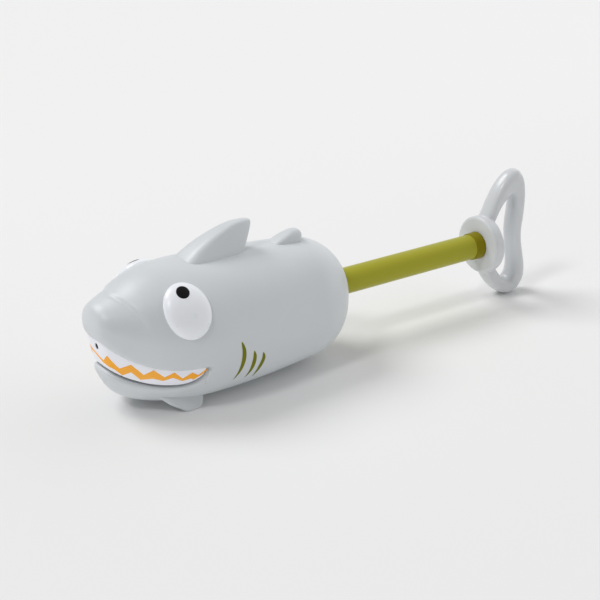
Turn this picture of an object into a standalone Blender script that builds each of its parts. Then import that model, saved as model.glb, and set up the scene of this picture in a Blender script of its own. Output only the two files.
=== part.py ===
"""Shark water squirter: a soft vinyl shark over a hand pump, with a pull-out plunger and a tail-fin handle.

The pump axis runs along X, from the nose at -X to the handle at +X. The squirter stands on its
side fins and on the handle's lower lobe, with the plunger pulled out to its stop.
"""
from math import cos, pi, radians, sin

import bmesh
import bpy
import numpy as np
from mathutils import Matrix, Vector

# Gap kept between pieces that touch or run in one another
FIT = 0.0003

# Pump
STROKE = 0.1035
BORE = 0.034
BARREL_WALL = 0.002
PISTON_LENGTH = 0.011
PISTON_PLAY = 0.0004
END_CLEARANCE = 0.0005
CAP_PLUG = 0.005
CAP_FLANGE = 0.0025
CAP_CONE = 0.006
STEM_DIAMETER = 0.009
STEM_BORE = 0.005
SEAL_CORD = 0.0026
SEAL_SQUEEZE_GAP = 0.00015

# Nozzle tip
ORIFICE = 0.0028
TIP_FLANGE = 0.0064
TIP_FLANGE_THICKNESS = 0.0024
TIP_SHANK_LENGTH = 0.006
TIP_SETBACK = 0.0066

# Rear cap
NOSE_ROOM = 0.028
REAR_CAP_DEPTH = 0.0215
REAR_CAP_DIAMETER = 0.044
WIPER_HEIGHT = 0.0018
WIPER_WIDTH = 0.0026
WIPER_SETBACK = 0.008
VENT_DIAMETER = 0.0025
VENT_RADIUS = 0.0132

# Plunger
ROD_DIAMETER = 0.016
ROD_WALL = 0.002
STOP_GAP = 0.0009
ROD_PLUG_LENGTH = 0.012
SCREW_DIAMETER = 0.004
SCREW_HEAD = 0.008
SCREW_HEAD_HEIGHT = 0.0022
SCREW_LENGTH = 0.017
WASHER_DIAMETER = 0.011
WASHER_THICKNESS = 0.001
COLLAR_LENGTH = 0.0065
COLLAR_WALL = 0.0005
COLLAR_FLARE = 0.0002

# Handle: a rounded strap shaped like a tail fin, on a round hub
HUB_DIAMETER = 0.0368
HUB_THICKNESS = 0.0077
HUB_ROUND = 0.0017
HUB_SOCKET = 0.006
SPIGOT_LENGTH = 0.012
STRAP_WIDTH = 0.0124
STRAP_ROUND = 0.0030
# Outline of the tail fin and of its hole: distance behind the hub's face, and height over the pump axis
TAIL_OUTLINE = [
    (0.0008, 0.0010), (0.0014, 0.0095), (0.0038, 0.0175), (0.0075, 0.0252), (0.0115, 0.0327), (0.0166, 0.0396),
    (0.0232, 0.0448), (0.0302, 0.0454), (0.0350, 0.0390), (0.0364, 0.0297), (0.0364, 0.0212), (0.0358, 0.0127),
    (0.0347, 0.0043), (0.0355, -0.0042), (0.0376, -0.0124), (0.0393, -0.0200), (0.0397, -0.0254),
    (0.0384, -0.0312), (0.0338, -0.0366), (0.0262, -0.0386), (0.0180, -0.0354), (0.0116, -0.0298),
    (0.0064, -0.0231), (0.0030, -0.0156), (0.0012, -0.0075),
]
TAIL_HOLE = [
    (0.0076, 0.0000), (0.0086, 0.0096), (0.0120, 0.0164), (0.0155, 0.0222), (0.0195, 0.0264), (0.0232, 0.0290),
    (0.0262, 0.0288), (0.0270, 0.0250), (0.0268, 0.0190), (0.0261, 0.0130), (0.0258, 0.0059), (0.0264, -0.0015),
    (0.0276, -0.0089), (0.0284, -0.0164), (0.0281, -0.0236), (0.0254, -0.0292), (0.0218, -0.0290),
    (0.0187, -0.0252), (0.0144, -0.0191), (0.0102, -0.0124),
]

# Shark body
AXIS_HEIGHT = 0.0386
BODY_WALL = 0.0025
MOUTH_WALL = 0.0016
WALL_FADE = 0.030
TAIL_ROUND = 0.032
BELLY_SQUARENESS = 2.4
# Skin stations of the head: distance from the nose tip, then heights of the top, of the underside
# and of the widest line over the pump axis, with the half width in between
HEAD_STATIONS = [
    (0.0000, 0.0155, 0.0155, 0.0000, 0.0155),
    (0.0010, 0.0215, 0.0060, 0.0090, 0.0150),
    (0.0023, 0.0238, -0.0030, 0.0120, 0.0144),
    (0.0040, 0.0252, -0.0100, 0.0142, 0.0136),
    (0.0090, 0.0274, -0.0228, 0.0184, 0.0114),
    (0.0160, 0.0302, -0.0298, 0.0233, 0.0085),
    (0.0260, 0.0353, -0.0345, 0.0299, 0.0052),
    (0.0370, 0.0386, -0.0367, 0.0350, 0.0022),
    (0.0530, 0.0395, -0.0380, 0.0390, -0.0007),
    (0.0730, 0.0391, -0.0383, 0.0398, -0.0015),
]
# Skin stations behind the widest point: share of the way to the tail, then the same four sizes
AFT_STATIONS = [
    (0.30, 0.0374, -0.0380, 0.0372, -0.0015),
    (0.65, 0.0350, -0.0358, 0.0340, -0.0010),
    (1.00, 0.0335, -0.0330, 0.0318, 0.0000),
]

# Mouth: a crescent groove seen from the side, with a tooth band set into it
MOUTH_CORNER = 0.051
CORNER_HEIGHT = -0.0098
UPPER_LIP_RISE = 0.0182
UPPER_LIP_REACH = 0.046
UPPER_LIP_CURL = 2.6
LOWER_LIP_DROP = 0.0092
LOWER_LIP_RISE = 0.0136
LOWER_LIP_REACH = 0.036
LOWER_LIP_CURL = 2.2
LIP_GAP = 0.0016
TOOTH_SETBACK_FRONT = 0.0019
TOOTH_SETBACK_SIDE = 0.0012
TOOTH_THICKNESS = 0.0011
BAND_HOLE = 0.0040

# Eyes: raised discs that follow the skin
EYE_STATION = 0.0435
EYE_ANGLE = 35.3
EYE_TILT = -9.0
EYE_HALF_LENGTH = 0.0129
EYE_HALF_HEIGHT = 0.0160
EYE_HALF_DEPTH = 0.0062
EYE_SINK = 0.0015
EYE_RAISE = 0.0032
PUPIL_DIAMETER = 0.0078
PUPIL_DEPTH = 0.0006
PUPIL_UP = 0.0088

# Fins, as level slices: height over the pump axis, front and rear distance from the nose tip,
# half thickness and distance of the slice's middle from the centre plane
DORSAL_FIN = [
    (0.030, 0.0525, 0.0960, 0.0106, 0.0), (0.038, 0.0566, 0.0975, 0.0093, 0.0),
    (0.043, 0.0630, 0.0996, 0.0076, 0.0), (0.048, 0.0722, 0.1016, 0.0058, 0.0),
    (0.0515, 0.0812, 0.1026, 0.0044, 0.0), (0.0535, 0.0880, 0.1022, 0.0031, 0.0),
    (0.0544, 0.0930, 0.1005, 0.0016, 0.0),
]
DORSAL_TAPER = 0.25
REAR_FIN = [
    (0.030, 0.1130, 0.1362, 0.0060, 0.0), (0.0355, 0.1166, 0.1366, 0.0055, 0.0),
    (0.0385, 0.1226, 0.1368, 0.0046, 0.0), (0.0403, 0.1277, 0.1358, 0.0033, 0.0),
    (0.0413, 0.1305, 0.1342, 0.0016, 0.0),
]
REAR_TAPER = 0.0
SIDE_FIN = [
    (-0.024, 0.0225, 0.0560, 0.0036, 0.0175), (-0.029, 0.0275, 0.0558, 0.0034, 0.0205),
    (-0.033, 0.0325, 0.0548, 0.0030, 0.0226), (-0.036, 0.0385, 0.0535, 0.0026, 0.0241),
    (-AXIS_HEIGHT, 0.0440, 0.0510, 0.0022, 0.0254),
]
SIDE_TAPER = 0.0
FIN_SQUARENESS = 4.0

# Facets
ROUND_STEPS = 32
SKIN_RINGS = 40
SKIN_SEGMENTS = 44
CAVITY_RINGS = 20
CAVITY_SEGMENTS = 24
FIN_POINTS = 18
REACH_PAST = 0.010

# Places along the pump axis, as distances from the nose tip
CHAMBER_FRONT = NOSE_ROOM
CHAMBER_REAR = CHAMBER_FRONT + STROKE + PISTON_LENGTH + 2 * END_CLEARANCE
BODY_LENGTH = CHAMBER_REAR + REAR_CAP_DEPTH
BARREL_FRONT = CHAMBER_FRONT - CAP_PLUG
BARREL_REAR = CHAMBER_REAR + CAP_PLUG
CAP_CONE_START = BARREL_FRONT - CAP_FLANGE
PISTON_REAR = CHAMBER_REAR - END_CLEARANCE
PISTON_FRONT = PISTON_REAR - PISTON_LENGTH
ROD_FRONT = PISTON_REAR + FIT
HUB_FACE = BODY_LENGTH + STROKE + STOP_GAP + COLLAR_LENGTH + FIT
STEM_FRONT = TIP_SETBACK + TIP_FLANGE_THICKNESS + FIT
TAIL_REACH = max(point[0] for point in TAIL_OUTLINE)
OVERALL_LENGTH = HUB_FACE + TAIL_REACH
NOSE_X = -OVERALL_LENGTH / 2
MOUTH_REACH = max(station[3] for station in HEAD_STATIONS) + REACH_PAST

# Radii
BORE_R = BORE / 2
BARREL_R = BORE_R + BARREL_WALL
ROD_R = ROD_DIAMETER / 2
ROD_BORE_R = ROD_R - ROD_WALL
ROD_HOLE_R = ROD_R + FIT
PLUG_R = BORE_R - FIT
SEAL_R = SEAL_CORD / 2
SCREW_HOLE_R = SCREW_DIAMETER / 2 + FIT

VINYL_GREY = (0.60, 0.63, 0.64, 1.0)
EYE_WHITE = (0.90, 0.91, 0.93, 1.0)
PUPIL_BLACK = (0.008, 0.008, 0.010, 1.0)
TOOTH_WHITE = (0.86, 0.87, 0.89, 1.0)
ROD_GREEN = (0.29, 0.28, 0.025, 1.0)
COLLAR_GREEN = (0.15, 0.13, 0.006, 1.0)
PUMP_WHITE = (0.75, 0.76, 0.76, 1.0)
SEAL_BLACK = (0.015, 0.015, 0.016, 1.0)
STEEL = (0.55, 0.55, 0.56, 1.0)


def clear_scene():
    for obj in list(bpy.data.objects):
        bpy.data.objects.remove(obj, do_unlink=True)


def new_collection(name):
    collection = bpy.data.collections.new(name)
    bpy.context.scene.collection.children.link(collection)
    return collection


def material(name, colour, roughness, metallic=0.0):
    made = bpy.data.materials.new(name)
    made.use_nodes = True
    shader = made.node_tree.nodes["Principled BSDF"]
    shader.inputs["Base Color"].default_value = colour
    shader.inputs["Roughness"].default_value = roughness
    shader.inputs["Metallic"].default_value = metallic
    return made


clear_scene()
PARTS = new_collection("water_squirter")
CUTTERS = new_collection("cutters")


def add_object(name, mesh, collection, finish=None):
    obj = bpy.data.objects.new(name, mesh)
    collection.objects.link(obj)
    if finish:
        mesh.materials.append(finish)
    return obj


def mesh_from_bmesh(name, bm):
    bm.normal_update()
    bmesh.ops.recalc_face_normals(bm, faces=bm.faces)
    mesh = bpy.data.meshes.new(name)
    bm.to_mesh(mesh)
    bm.free()
    mesh.shade_smooth()
    mesh.set_sharp_from_angle(angle=radians(40))
    return mesh


def boolean(obj, operation, other):
    step = obj.modifiers.new(operation.lower() + "_" + other.name, "BOOLEAN")
    step.operation = operation
    step.solver = "EXACT"
    step.object = other
    other.hide_render = True
    other.display_type = "WIRE"
    return obj


def smooth_curve(places, values, at):
    """A smooth curve through the given values, with slopes taken from their neighbours."""
    places, values = np.asarray(places), np.asarray(values)
    slopes = np.gradient(values, places)
    left = np.clip(np.searchsorted(places, at, side="right") - 1, 0, len(places) - 2)
    width = places[left + 1] - places[left]
    t = np.clip((at - places[left]) / width, 0.0, 1.0)
    rise = values[left + 1] - values[left]
    blend = t * t * (3 - 2 * t)
    return (values[left] + blend * rise
            + width * t * (1 - t) * ((1 - t) * slopes[left] - t * slopes[left + 1]))


def skin_stations():
    widest = HEAD_STATIONS[-1][0]
    aft = [(widest + share * (BODY_LENGTH - widest), *sizes) for share, *sizes in AFT_STATIONS]
    return np.array(HEAD_STATIONS + aft).T


def skin(distance, angle):
    """Points of the shark's skin, at a distance from the nose tip and an angle up from the +Y side."""
    distance, angle = np.broadcast_arrays(np.asarray(distance, float), np.asarray(angle, float))
    places, *columns = skin_stations()
    root = np.sqrt(np.clip(distance, 0.0, BODY_LENGTH))
    top, under, half, waist = (smooth_curve(np.sqrt(places), column, root) for column in columns)
    past = np.clip(distance - (BODY_LENGTH - TAIL_ROUND), 0.0, TAIL_ROUND)
    drawn_in = TAIL_ROUND - np.sqrt(TAIL_ROUND ** 2 - past ** 2)
    half = np.maximum(half - drawn_in, 0.0)
    up = np.maximum(top - waist - drawn_in, 0.0)
    down = np.maximum(waist - under - drawn_in, 0.0)
    across, rise = np.cos(angle), np.sin(angle)
    belly = 2.0 / BELLY_SQUARENESS
    below = rise < 0
    y = np.where(below, np.sign(across) * np.abs(across) ** belly, across) * half
    z = waist + np.where(below, -np.abs(rise) ** belly * down, rise * up)
    return np.stack([NOSE_X + distance, y, AXIS_HEIGHT + z], axis=-1)


def skin_normal(distance, angle):
    step_s, step_a = 1e-4, 1e-3
    low = np.clip(distance - step_s, 1e-5, BODY_LENGTH - 2e-5)
    high = np.clip(distance + step_s, 2e-5, BODY_LENGTH - 1e-5)
    along = skin(high, angle) - skin(low, angle)
    around = skin(distance, angle + step_a) - skin(distance, angle - step_a)
    normal = np.cross(around, along)
    return normal / np.linalg.norm(normal, axis=-1, keepdims=True)


def skin_body(name, inset=0.0, rings=SKIN_RINGS, segments=SKIN_SEGMENTS):
    """A closed form of the shark's skin, set in by a distance or by a function of the station."""
    depth = inset if callable(inset) else (lambda distance: np.full_like(distance, inset))
    share = np.linspace(0.0, 1.0, rings + 2)
    stations = BODY_LENGTH * (0.5 - 0.5 * np.cos(pi * share[1:-1]))
    angles = 2 * pi * np.arange(segments) / segments
    distance, angle = np.meshgrid(stations, angles, indexing="ij")
    points = skin(distance, angle) - depth(distance)[..., None] * skin_normal(distance, angle)
    nose = skin(0.0, 0.0) + (float(depth(np.array([0.0]))[0]), 0.0, 0.0)
    tail = skin(BODY_LENGTH, 0.0) - (float(depth(np.array([BODY_LENGTH]))[0]), 0.0, 0.0)
    return add_object(name, loft(name, points, nose, tail), CUTTERS)


def loft(name, rings, first=None, last=None):
    """Skin over rings of points, closed at each end by a fan to a point or by a flat face."""
    bm = bmesh.new()
    rows = [[bm.verts.new(point) for point in ring] for ring in rings]
    for lower, upper in zip(rows, rows[1:]):
        for i in range(len(lower)):
            j = (i + 1) % len(lower)
            bm.faces.new((lower[i], lower[j], upper[j], upper[i]))
    for row, point in ((rows[0], first), (rows[-1], last)):
        if point is None:
            bm.faces.new(row)
            continue
        centre = bm.verts.new(point)
        for i in range(len(row)):
            bm.faces.new((row[i], row[(i + 1) % len(row)], centre))
    return mesh_from_bmesh(name, bm)


def arc(centre_r, centre_s, radius, start, end, count):
    """Points of a circular arc in a turned profile, angles in degrees from outward towards the tail."""
    steps = [radians(start + (end - start) * i / count) for i in range(count + 1)]
    return [(centre_r + radius * cos(a), centre_s + radius * sin(a)) for a in steps]


def turned(name, profile, collection, finish=None, steps=ROUND_STEPS):
    """A piece turned about the pump axis. The profile of (radius, distance) runs down its outer side,
    from the tail end to the nose end; one that stays off the axis is closed into a ring."""
    mesh = bpy.data.meshes.new(name)
    count = len(profile)
    edges = [(i, i + 1) for i in range(count - 1)]
    if min(radius for radius, _ in profile) > 0.0:
        edges.append((count - 1, 0))
    mesh.from_pydata([(radius, 0.0, place) for radius, place in profile], edges, [])
    obj = add_object(name, mesh, collection, finish)
    obj.location = (NOSE_X, 0.0, AXIS_HEIGHT)
    obj.rotation_euler = (0.0, pi / 2, 0.0)
    screw = obj.modifiers.new("turn", "SCREW")
    screw.axis = "Z"
    screw.angle = 2 * pi
    screw.steps = steps
    screw.render_steps = steps
    screw.use_merge_vertices = True
    screw.merge_threshold = 0.00001
    return obj


def cylinder(name, radius, start, end):
    return turned(name, [(0.0, end), (radius, end), (radius, start), (0.0, start)], CUTTERS)


def seal_ring(name, middle, place, finish):
    ring = [(r, s) for r, s in arc(middle, place, SEAL_R, 360, 0, 10)[:-1]]
    return turned(name, ring, PARTS, finish)


def side_outline(name, outlines, half_width, rounding=0.0):
    """A solid whose outline is drawn in the side view, as (x, z) points, and spread across Y."""
    curve = bpy.data.curves.new(name, "CURVE")
    curve.dimensions = "2D"
    curve.fill_mode = "BOTH"
    curve.extrude = half_width - rounding
    curve.bevel_depth = rounding
    curve.bevel_resolution = 1
    curve.offset = -rounding
    for outline in outlines:
        spline = curve.splines.new("POLY")
        spline.points.add(len(outline) - 1)
        for point, (x, z) in zip(spline.points, outline):
            point.co = (x, z, 0.0, 1.0)
        spline.use_cyclic_u = True
    drawn = add_object(name + "_outline", curve, CUTTERS)
    drawn.rotation_euler = (pi / 2, 0.0, 0.0)
    bpy.context.view_layer.update()
    evaluated = drawn.evaluated_get(bpy.context.evaluated_depsgraph_get())
    mesh = bpy.data.meshes.new_from_object(evaluated)
    bm = bmesh.new()
    bm.from_mesh(mesh)
    bmesh.ops.remove_doubles(bm, verts=bm.verts, dist=0.00001)
    bpy.data.meshes.remove(mesh)
    solid = add_object(name, mesh_from_bmesh(name, bm), CUTTERS)
    solid.matrix_world = drawn.matrix_world
    bpy.data.objects.remove(drawn, do_unlink=True)
    return solid


def lip_height(distance, low, rise, reach, curl):
    return low + rise * np.clip(1 - distance / reach, 0.0, None) ** curl


def mouth_outline(trim_top, trim_under, corner):
    """The mouth's crescent in the side view, from ahead of the nose back to the mouth's corner."""
    low = CORNER_HEIGHT - LOWER_LIP_DROP
    upper = np.linspace(-REACH_PAST, corner, 14)
    lower = corner + (-REACH_PAST - corner) * (0.5 - 0.5 * np.cos(pi * np.linspace(0.0, 1.0, 20)))
    top = lip_height(upper, CORNER_HEIGHT, UPPER_LIP_RISE, UPPER_LIP_REACH, UPPER_LIP_CURL) - trim_top
    under = lip_height(lower, low, LOWER_LIP_RISE, LOWER_LIP_REACH, LOWER_LIP_CURL) + trim_under
    turn = np.clip((lower - LOWER_LIP_REACH) / (corner - LOWER_LIP_REACH), 0.0, 1.0)
    close = top[-1] - (low + trim_under)
    under = under + close * (1 - np.sqrt(1 - turn ** 2))
    points = list(zip(upper, top)) + list(zip(lower[1:], under[1:]))
    return [(NOSE_X + distance, AXIS_HEIGHT + height) for distance, height in points]


def tooth_setback(extra):
    """How far behind the skin the tooth band's face lies, with more added for its back or its seat."""
    def depth(distance):
        share = np.clip(distance / MOUTH_CORNER, 0.0, 1.0)
        return TOOTH_SETBACK_FRONT + (TOOTH_SETBACK_SIDE - TOOTH_SETBACK_FRONT) * share + extra
    return depth


def shell_depth(distance):
    """Thickness of the vinyl, which backs the floor of the mouth and thins out behind its corners."""
    backing = tooth_setback(TOOTH_THICKNESS + FIT + MOUTH_WALL)(distance)
    fade = np.clip((distance - MOUTH_CORNER) / WALL_FADE, 0.0, 1.0)
    return backing + (BODY_WALL - backing) * fade


def fin(name, slices, taper, side=1):
    """A fin lofted through its slices; with a taper it is thicker to the front and thinner to the rear."""
    rings = []
    power = 2.0 / FIN_SQUARENESS
    angles = [2 * pi * i / FIN_POINTS for i in range(FIN_POINTS)]
    for height, front, rear, half, offset in slices:
        middle, reach = NOSE_X + (front + rear) / 2, (rear - front) / 2
        ring = []
        for angle in angles:
            lengthwise = np.sign(cos(angle)) * abs(cos(angle)) ** power
            across = np.sign(sin(angle)) * abs(sin(angle)) ** power
            thick = half * (1 - taper * lengthwise)
            ring.append((middle + reach * lengthwise, side * offset + thick * across, AXIS_HEIGHT + height))
        rings.append(ring)
    return add_object(name, loft(name, rings), CUTTERS)


def pump_room():
    """The space that the barrel, its front cap and the nozzle stem take up inside the shell."""
    wide, narrow = BARREL_R + FIT, STEM_DIAMETER / 2 + FIT
    cone = CAP_CONE_START - FIT
    return turned("pump_room", [
        (0.0, BARREL_REAR), (wide, BARREL_REAR), (wide, cone), (narrow, cone - CAP_CONE),
        (narrow, -REACH_PAST), (0.0, -REACH_PAST),
    ], CUTTERS)


def make_body_shell(finish):
    shell = skin_body("body_shell")
    CUTTERS.objects.unlink(shell)
    PARTS.objects.link(shell)
    shell.data.materials.append(finish)
    for made in (fin("dorsal_fin", DORSAL_FIN, DORSAL_TAPER), fin("rear_fin", REAR_FIN, REAR_TAPER),
                 fin("left_side_fin", SIDE_FIN, SIDE_TAPER, -1), fin("right_side_fin", SIDE_FIN, SIDE_TAPER, 1)):
        boolean(shell, "UNION", made)
    groove = side_outline("mouth_groove", [mouth_outline(0.0, 0.0, MOUTH_CORNER)], MOUTH_REACH)
    boolean(groove, "DIFFERENCE", skin_body("mouth_floor", tooth_setback(TOOTH_THICKNESS + FIT)))
    boolean(shell, "DIFFERENCE", groove)
    boolean(shell, "DIFFERENCE", skin_body("cavity", shell_depth, CAVITY_RINGS, CAVITY_SEGMENTS))
    boolean(shell, "DIFFERENCE", pump_room())
    opening = cylinder("rear_opening", REAR_CAP_DIAMETER / 2 + FIT, BARREL_REAR, BODY_LENGTH + REACH_PAST)
    boolean(shell, "DIFFERENCE", opening)


def make_tooth_band(finish):
    band = side_outline("tooth_band", [mouth_outline(FIT, LIP_GAP, MOUTH_CORNER - LIP_GAP)], MOUTH_REACH)
    CUTTERS.objects.unlink(band)
    PARTS.objects.link(band)
    band.data.materials.append(finish)
    boolean(band, "INTERSECT", skin_body("tooth_face", tooth_setback(0.0)))
    boolean(band, "DIFFERENCE", skin_body("tooth_back", tooth_setback(TOOTH_THICKNESS)))
    boolean(band, "DIFFERENCE", cylinder("band_hole", BAND_HOLE / 2, -REACH_PAST, CHAMBER_FRONT))


def eye_frame(side):
    """A frame on the skin under an eye: X along the body, Y up over the cheek, Z out of the skin."""
    angle = pi - radians(EYE_ANGLE) if side < 0 else radians(EYE_ANGLE)
    out = Vector(skin_normal(EYE_STATION, angle))
    up = Vector((0.0, 0.0, 1.0))
    along = up.cross(out).normalized() * -side
    up = out.cross(along) * -side
    along, up = (along * cos(radians(EYE_TILT)) - up * sin(radians(EYE_TILT)),
                 up * cos(radians(EYE_TILT)) + along * sin(radians(EYE_TILT)))
    frame = Matrix((along, up, out)).transposed().to_4x4()
    frame.translation = Vector(skin(EYE_STATION, angle)) - out * EYE_SINK
    return frame


def dome(name, frame):
    bm = bmesh.new()
    bmesh.ops.create_uvsphere(bm, u_segments=28, v_segments=16, radius=1.0)
    bm.transform(frame @ Matrix.Diagonal((EYE_HALF_LENGTH, EYE_HALF_HEIGHT, EYE_HALF_DEPTH, 1.0)))
    return add_object(name, mesh_from_bmesh(name, bm), CUTTERS)


def pupil_post(name, frame, radius):
    bm = bmesh.new()
    bmesh.ops.create_cone(bm, cap_ends=True, segments=20, radius1=radius, radius2=radius,
                          depth=2 * EYE_HALF_DEPTH)
    bm.transform(frame @ Matrix.Translation((0.0, PUPIL_UP, EYE_HALF_DEPTH)))
    return add_object(name, mesh_from_bmesh(name, bm), CUTTERS)


def make_eye(label, side, white, black):
    frame = eye_frame(side)
    eye = dome(label + "_eye", frame)
    pupil = pupil_post(label + "_pupil", frame, PUPIL_DIAMETER / 2)
    for piece, finish in ((eye, white), (pupil, black)):
        CUTTERS.objects.unlink(piece)
        PARTS.objects.link(piece)
        piece.data.materials.append(finish)
    pupil_back = EYE_RAISE - PUPIL_DEPTH
    pocket = pupil_post(label + "_pocket", frame, PUPIL_DIAMETER / 2 + FIT)
    boolean(pocket, "DIFFERENCE", skin_body(label + "_pocket_floor", FIT - pupil_back))
    boolean(eye, "INTERSECT", skin_body(label + "_eye_face", -EYE_RAISE))
    boolean(eye, "DIFFERENCE", skin_body(label + "_eye_seat", -FIT))
    boolean(eye, "DIFFERENCE", pocket)
    boolean(pupil, "INTERSECT", skin_body(label + "_pupil_face", -EYE_RAISE))
    boolean(pupil, "DIFFERENCE", skin_body(label + "_pupil_back", -pupil_back))


def make_barrel(finish):
    rear, front = BARREL_REAR - FIT, BARREL_FRONT + FIT
    turned("pump_barrel", [(BARREL_R, rear), (BARREL_R, front), (BORE_R, front), (BORE_R, rear)], PARTS, finish)


def make_front_cap(finish, seal):
    groove = CHAMBER_FRONT - CAP_PLUG / 2
    half = SEAL_R + FIT
    middle = BORE_R - SEAL_SQUEEZE_GAP - SEAL_R
    turned("barrel_front_cap", [
        (PLUG_R, CHAMBER_FRONT), (PLUG_R, groove + half), (middle - half, groove + half),
        (middle - half, groove - half), (PLUG_R, groove - half), (PLUG_R, BARREL_FRONT),
        (BARREL_R, BARREL_FRONT), (BARREL_R, CAP_CONE_START),
        (STEM_DIAMETER / 2, CAP_CONE_START - CAP_CONE), (STEM_DIAMETER / 2, STEM_FRONT),
        (STEM_BORE / 2, STEM_FRONT), (STEM_BORE / 2, CHAMBER_FRONT),
    ], PARTS, finish)
    seal_ring("front_cap_o_ring", middle, groove, seal)


def make_nozzle_tip(finish):
    shank = STEM_BORE / 2 - FIT
    back = TIP_SETBACK + TIP_FLANGE_THICKNESS
    turned("nozzle_tip", [
        (shank, back + TIP_SHANK_LENGTH), (shank, back), (TIP_FLANGE / 2, back),
        (TIP_FLANGE / 2, TIP_SETBACK), (ORIFICE / 2, TIP_SETBACK), (ORIFICE / 2, back + TIP_SHANK_LENGTH),
    ], PARTS, finish, steps=20)


def make_rear_cap(finish, seal):
    groove = BODY_LENGTH - WIPER_SETBACK
    half = WIPER_WIDTH / 2 + FIT
    end = BODY_LENGTH + REACH_PAST
    cap = turned("rear_cap", [
        (REAR_CAP_DIAMETER / 2, end), (REAR_CAP_DIAMETER / 2, BARREL_REAR), (PLUG_R, BARREL_REAR),
        (PLUG_R, CHAMBER_REAR), (ROD_HOLE_R, CHAMBER_REAR), (ROD_HOLE_R, groove - half),
        (ROD_HOLE_R + WIPER_HEIGHT + FIT, groove - half), (ROD_HOLE_R + WIPER_HEIGHT + FIT, groove + half),
        (ROD_HOLE_R, groove + half), (ROD_HOLE_R, end),
    ], PARTS, finish)
    boolean(cap, "INTERSECT", skin_body("tail_face"))
    for side in (-1, 1):
        vent = cylinder("vent_%s" % ("left" if side < 0 else "right"), VENT_DIAMETER / 2,
                        CHAMBER_REAR - REACH_PAST, end)
        vent.location.y += side * VENT_RADIUS
        boolean(cap, "DIFFERENCE", vent)
    inner, outer = ROD_HOLE_R, ROD_HOLE_R + WIPER_HEIGHT
    rear, front = groove + WIPER_WIDTH / 2, groove - WIPER_WIDTH / 2
    turned("rod_wiper", [(outer, rear), (outer, front), (inner, front), (inner, rear)], PARTS, seal)


def make_piston(finish, seal, steel):
    radius = BORE_R - PISTON_PLAY
    middle = BORE_R - SEAL_SQUEEZE_GAP - SEAL_R
    groove = (PISTON_FRONT + PISTON_REAR) / 2
    half = SEAL_R + FIT
    well_r = WASHER_DIAMETER / 2 + FIT
    washer_back = PISTON_FRONT + FIT + SCREW_HEAD_HEIGHT + FIT + WASHER_THICKNESS
    well = washer_back + FIT
    turned("piston_head", [
        (radius, PISTON_REAR), (radius, groove + half), (middle - half, groove + half),
        (middle - half, groove - half), (radius, groove - half), (radius, PISTON_FRONT),
        (well_r, PISTON_FRONT), (well_r, well), (SCREW_HOLE_R, well), (SCREW_HOLE_R, PISTON_REAR),
    ], PARTS, finish)
    seal_ring("piston_o_ring", middle, groove, seal)
    washer_front = washer_back - WASHER_THICKNESS
    turned("piston_washer", [
        (WASHER_DIAMETER / 2, washer_back), (WASHER_DIAMETER / 2, washer_front),
        (SCREW_HOLE_R, washer_front), (SCREW_HOLE_R, washer_back),
    ], PARTS, steel, steps=24)
    head_back = washer_front - FIT
    tip = head_back + SCREW_LENGTH
    shank = SCREW_DIAMETER / 2
    turned("piston_screw", [
        (0.0, tip), (shank, tip - SCREW_DIAMETER), (shank, head_back), (SCREW_HEAD / 2, head_back),
        (SCREW_HEAD / 2, head_back - SCREW_HEAD_HEIGHT / 2), (0.0, head_back - SCREW_HEAD_HEIGHT),
    ], PARTS, steel, steps=20)


def make_rod(green, dark_green, white):
    end = HUB_FACE + HUB_SOCKET - FIT
    turned("plunger_rod", [(ROD_R, end), (ROD_R, ROD_FRONT), (ROD_BORE_R, ROD_FRONT), (ROD_BORE_R, end)],
           PARTS, green)
    plug_r = ROD_BORE_R - FIT
    plug_end = ROD_FRONT + ROD_PLUG_LENGTH
    turned("rod_plug", [
        (plug_r, plug_end), (plug_r, ROD_FRONT), (SCREW_HOLE_R, ROD_FRONT), (SCREW_HOLE_R, plug_end),
    ], PARTS, white, steps=24)
    inner = ROD_R + FIT
    rear, front = HUB_FACE - FIT, HUB_FACE - FIT - COLLAR_LENGTH
    turned("rod_collar", [
        (inner + COLLAR_WALL, rear), (inner + COLLAR_WALL - COLLAR_FLARE, front), (inner, front), (inner, rear),
    ], PARTS, dark_green)


def closed_curve(points):
    """A smooth closed line through points given behind the hub's face and over the pump axis."""
    points = np.array(points)
    count = len(points)
    steps = np.arange(-2, count + 3)
    at = np.linspace(0.0, count, 2 * count, endpoint=False)
    line = np.stack([smooth_curve(steps, points[steps % count, k], at) for k in (0, 1)], axis=1)
    return (line + (NOSE_X + HUB_FACE, AXIS_HEIGHT)).tolist()


def make_handle(finish):
    radius, back = HUB_DIAMETER / 2, HUB_FACE + HUB_THICKNESS
    spigot = ROD_BORE_R - FIT
    rounded = [*arc(radius - HUB_ROUND, back - HUB_ROUND, HUB_ROUND, 90, 0, 3),
               *arc(radius - HUB_ROUND, HUB_FACE + HUB_ROUND, HUB_ROUND, 0, -90, 3)]
    handle = turned("handle", [
        (0.0, back), *rounded, (ROD_HOLE_R, HUB_FACE), (ROD_HOLE_R, HUB_FACE + HUB_SOCKET),
        (spigot, HUB_FACE + HUB_SOCKET), (spigot, HUB_FACE - SPIGOT_LENGTH), (0.0, HUB_FACE - SPIGOT_LENGTH),
    ], PARTS, finish)
    strap = side_outline("strap", [closed_curve(TAIL_OUTLINE), closed_curve(TAIL_HOLE)], STRAP_WIDTH / 2, STRAP_ROUND)
    room = cylinder("strap_room", (ROD_HOLE_R + radius) / 2, HUB_FACE - REACH_PAST, HUB_FACE + HUB_SOCKET + FIT)
    boolean(strap, "DIFFERENCE", room)
    boolean(handle, "UNION", strap)


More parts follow.
